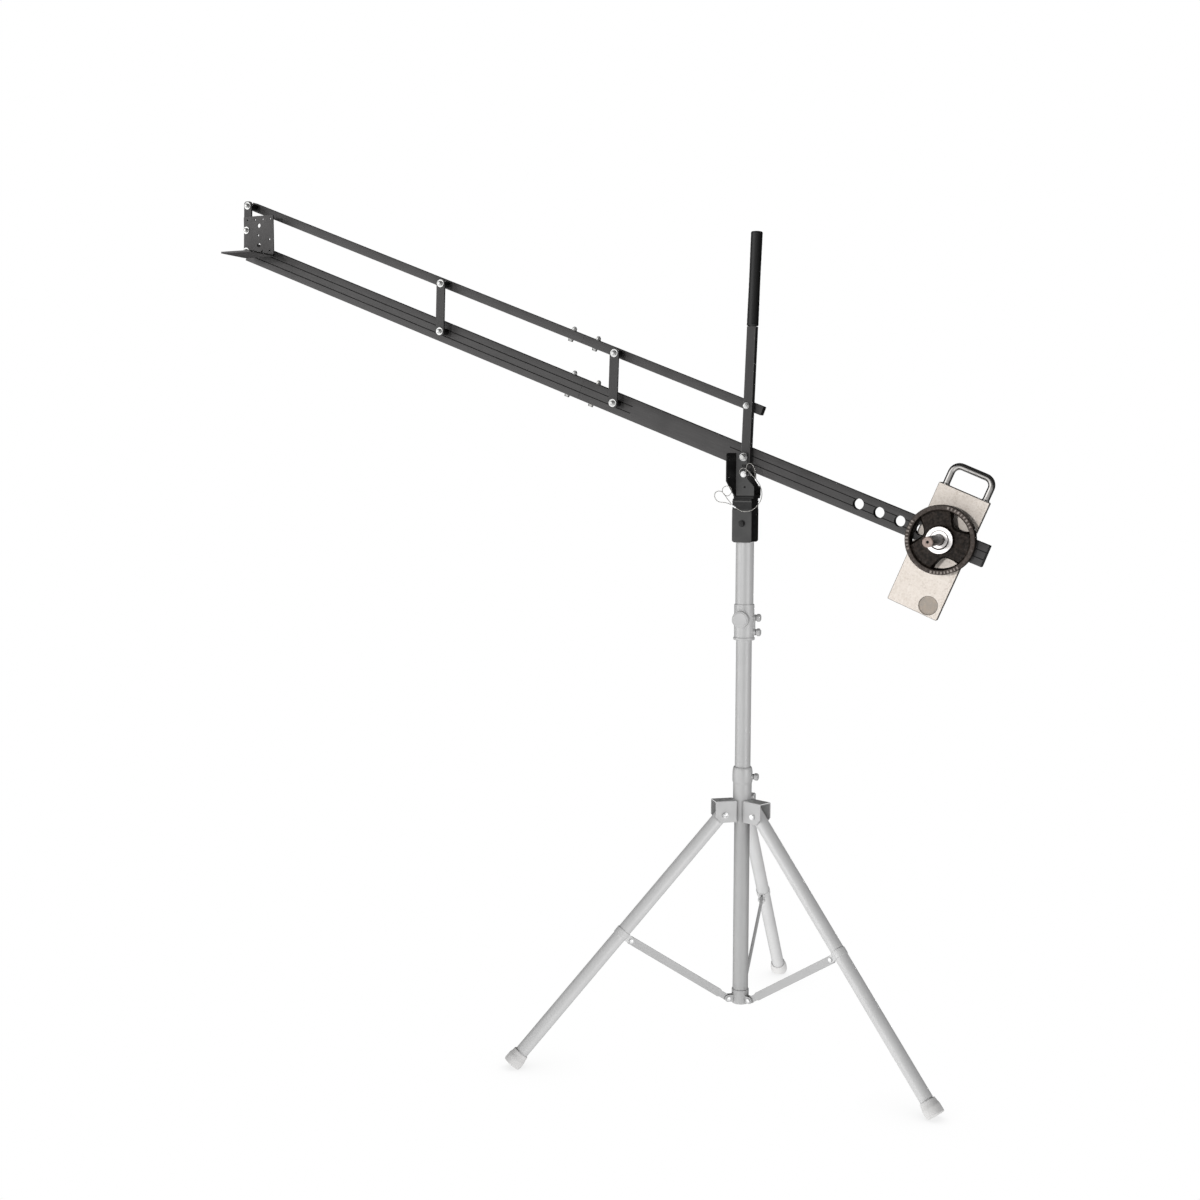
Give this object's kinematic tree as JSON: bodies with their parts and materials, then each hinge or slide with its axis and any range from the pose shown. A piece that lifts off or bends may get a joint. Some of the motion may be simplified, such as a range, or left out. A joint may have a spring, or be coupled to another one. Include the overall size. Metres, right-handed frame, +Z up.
{
  "type": "camera jib crane",
  "caption": "Counterweighted tilting camera boom with a parallel levelling rod, camera bracket, hand lever and weights, on a folding three-legged column stand.",
  "frame": {"origin": "centre of the base rectangle of the whole object, on the floor", "axes": "+Z up; the camera end of the boom points to -X; links, lever and cast weight are on the -Y side"},
  "size_m": [2.3636, 1.1118, 2.5046],
  "materials": {
    "black_aluminium": "satin black coating on extruded aluminium",
    "plain_aluminium": "mill finish",
    "black_steel": "semi-gloss black powder coat",
    "zinc_hardware": "bright zinc plate",
    "grip_rubber": "soft matt sleeve",
    "black_plastic": "matt moulded",
    "cast_weight": "dark rough casting",
    "galvanised_steel": "dull warm galvanised",
    "stand_paint": "smooth pale grey",
    "stand_rubber": "matt pale grey rubber",
    "steel_wire": "twisted steel wire"
  },
  "bodies": {
    "root": {"column_tube": "stand_paint", "base_block": "stand_paint"},
    "hub": {"leg_hub": "stand_paint", "hub_bolt_1": "stand_paint", "hub_bolt_2": "stand_paint", "hub_bolt_3": "stand_paint"},
    "hub_knob": {"hub_knob": "stand_paint"},
    "leg_1": {"leg_tube_1": "stand_paint", "foot_1": "stand_rubber", "leg_clip_1": "stand_paint"},
    "brace_1": {"brace_1": "stand_paint"},
    "leg_2": {"leg_tube_2": "stand_paint", "foot_2": "stand_rubber", "leg_clip_2": "stand_paint"},
    "brace_2": {"brace_2": "stand_paint"},
    "leg_3": {"leg_tube_3": "stand_paint", "foot_3": "stand_rubber", "leg_clip_3": "stand_paint"},
    "brace_3": {"brace_3": "stand_paint"},
    "riser": {"upper_tube": "stand_paint", "upper_collar": "stand_paint", "pan_socket": "black_steel", "socket_bolt": "black_steel"},
    "collar_knob_1": {"collar_knob_1": "stand_paint"},
    "collar_knob_2": {"collar_knob_2": "stand_paint"},
    "pan_head": {"yoke": "black_steel", "pan_spindle": "black_steel", "main_pivot_bolt": "zinc_hardware", "pin_lanyard": "steel_wire"},
    "lock_pin": {"lock_pin": "zinc_hardware"},
    "beam": {"beam_front": "black_aluminium", "beam_rear": "black_aluminium", "beam_joiner": "plain_aluminium", "beam_end_cap": "black_plastic", "beam_bolt_1": "zinc_hardware", "beam_bolt_2": "zinc_hardware", "weight_bar": "zinc_hardware", "bar_sleeve": "zinc_hardware", "front_link_bolt_low": "zinc_hardware", "rear_link_bolt_low": "zinc_hardware", "head_bolt_low": "zinc_hardware"},
    "lever": {"lever": "black_aluminium", "lever_grip": "grip_rubber", "lever_rod_bolt": "zinc_hardware"},
    "front_link": {"front_link": "black_aluminium", "front_link_bolt_top": "zinc_hardware"},
    "rear_link": {"rear_link": "black_aluminium", "rear_link_bolt_top": "zinc_hardware"},
    "rod": {"top_rod_front": "black_aluminium", "top_rod_rear": "black_aluminium", "rod_bolt_1": "zinc_hardware", "rod_bolt_2": "zinc_hardware"},
    "head": {"camera_bracket": "black_aluminium", "head_link": "black_aluminium", "head_bolt_mid": "zinc_hardware", "head_bolt_top": "zinc_hardware"},
    "weight_plate": {"weight_plate": "cast_weight"},
    "slab_weight": {"slab_weight": "galvanised_steel"}
  },
  "joints": [
    {"name": "stand_fold", "type": "slide", "parent": "root", "child": "hub", "axis": [0, 0, 1], "range_m": [0, 0.2473]},
    {"name": "hub_knob_turn", "type": "hinge", "parent": "hub", "child": "hub_knob", "pos_m": [0.54339, -0.12847, 0.796], "axis": [1, 0, 0], "range_deg": [-360, 360]},
    {"name": "leg_1_fold", "type": "hinge", "parent": "hub", "child": "leg_1", "pos_m": [0.4571, -0.16342, 0.69], "axis": [0.6027, -0.798, 0], "range_deg": [0, 40.2]},
    {"name": "brace_1_fold", "type": "hinge", "parent": "leg_1", "child": "brace_1", "pos_m": [0.24179, -0.32603, 0.33952], "axis": [0.6027, -0.798, 0], "range_deg": [-96.8, 0]},
    {"name": "leg_2_fold", "type": "hinge", "parent": "hub", "child": "leg_2", "pos_m": [0.5568, -0.15107, 0.69], "axis": [0.3898, 0.9209, 0], "range_deg": [0, 40.2]},
    {"name": "brace_2_fold", "type": "hinge", "parent": "leg_2", "child": "brace_2", "pos_m": [0.80528, -0.25624, 0.33952], "axis": [0.3898, 0.9209, 0], "range_deg": [-96.8, 0]},
    {"name": "leg_3_fold", "type": "hinge", "parent": "hub", "child": "leg_3", "pos_m": [0.49626, -0.07091, 0.69], "axis": [-0.9924, -0.1229, 0], "range_deg": [0, 40.2]},
    {"name": "brace_3_fold", "type": "hinge", "parent": "leg_3", "child": "brace_3", "pos_m": [0.4631, 0.19687, 0.33952], "axis": [-0.9924, -0.1229, 0], "range_deg": [-96.8, 0]},
    {"name": "riser_lift", "type": "slide", "parent": "root", "child": "riser", "axis": [0, 0, 1], "range_m": [-0.03, 0.24]},
    {"name": "collar_knob_1_turn", "type": "hinge", "parent": "riser", "child": "collar_knob_1", "pos_m": [0.54339, -0.12847, 1.25], "axis": [1, 0, 0], "range_deg": [-360, 360]},
    {"name": "collar_knob_2_turn", "type": "hinge", "parent": "riser", "child": "collar_knob_2", "pos_m": [0.54339, -0.12847, 1.209], "axis": [1, 0, 0], "range_deg": [-360, 360]},
    {"name": "pan", "type": "hinge", "parent": "riser", "child": "pan_head", "pos_m": [0.50339, -0.12847, 1.583], "axis": [0, 0, 1], "continuous": true},
    {"name": "lock_pin_pull", "type": "slide", "parent": "pan_head", "child": "lock_pin", "axis": [0, -1, 0], "range_m": [0, 0.085]},
    {"name": "beam_tilt", "type": "hinge", "parent": "pan_head", "child": "beam", "pos_m": [0.50639, -0.12847, 1.7], "axis": [0, 1, 0], "range_deg": [-56.4, 12.6]},
    {"name": "lever_swing", "type": "hinge", "parent": "beam", "child": "lever", "pos_m": [0.50639, -0.12847, 1.7], "axis": [0, -1, 0], "range_deg": [-71.4, 27.6]},
    {"name": "front_swing", "type": "hinge", "parent": "beam", "child": "front_link", "pos_m": [-0.45087, -0.12847, 2.07476], "axis": [0, -1, 0], "range_deg": [-71.8, 28]},
    {"name": "rear_swing", "type": "hinge", "parent": "beam", "child": "rear_link", "pos_m": [0.11389, -0.12847, 1.85366], "axis": [0, -1, 0], "range_deg": [-71.8, 28]},
    {"name": "head_swing", "type": "hinge", "parent": "beam", "child": "head", "pos_m": [-1.1446, -0.12847, 2.34635], "axis": [0, -1, 0], "range_deg": [-71.8, 28]},
    {"name": "rod_turn", "type": "hinge", "parent": "front_link", "child": "rod", "pos_m": [-0.44623, -0.12847, 2.21608], "axis": [0, 1, 0], "range_deg": [-71.8, 28]},
    {"name": "weight_plate_slide", "type": "slide", "parent": "beam", "child": "weight_plate", "axis": [0, -1, 0], "range_m": [0, 0.19]},
    {"name": "slab_weight_slide", "type": "slide", "parent": "beam", "child": "slab_weight", "axis": [0, 1, 0], "range_m": [0, 0.045]}
  ],
  "couplings": [
    {"joint": "leg_1_fold", "follows": "stand_fold", "rad_per_m": 2.823},
    {"joint": "brace_1_fold", "follows": "stand_fold", "rad_per_m": -6.7971},
    {"joint": "leg_2_fold", "follows": "stand_fold", "rad_per_m": 2.823},
    {"joint": "brace_2_fold", "follows": "stand_fold", "rad_per_m": -6.7971},
    {"joint": "leg_3_fold", "follows": "stand_fold", "rad_per_m": 2.823},
    {"joint": "brace_3_fold", "follows": "stand_fold", "rad_per_m": -6.7971},
    {"joint": "front_swing", "follows": "lever_swing", "ratio": 1},
    {"joint": "rear_swing", "follows": "lever_swing", "ratio": 1},
    {"joint": "head_swing", "follows": "lever_swing", "ratio": 1},
    {"joint": "rod_turn", "follows": "lever_swing", "ratio": 1}
  ]
}
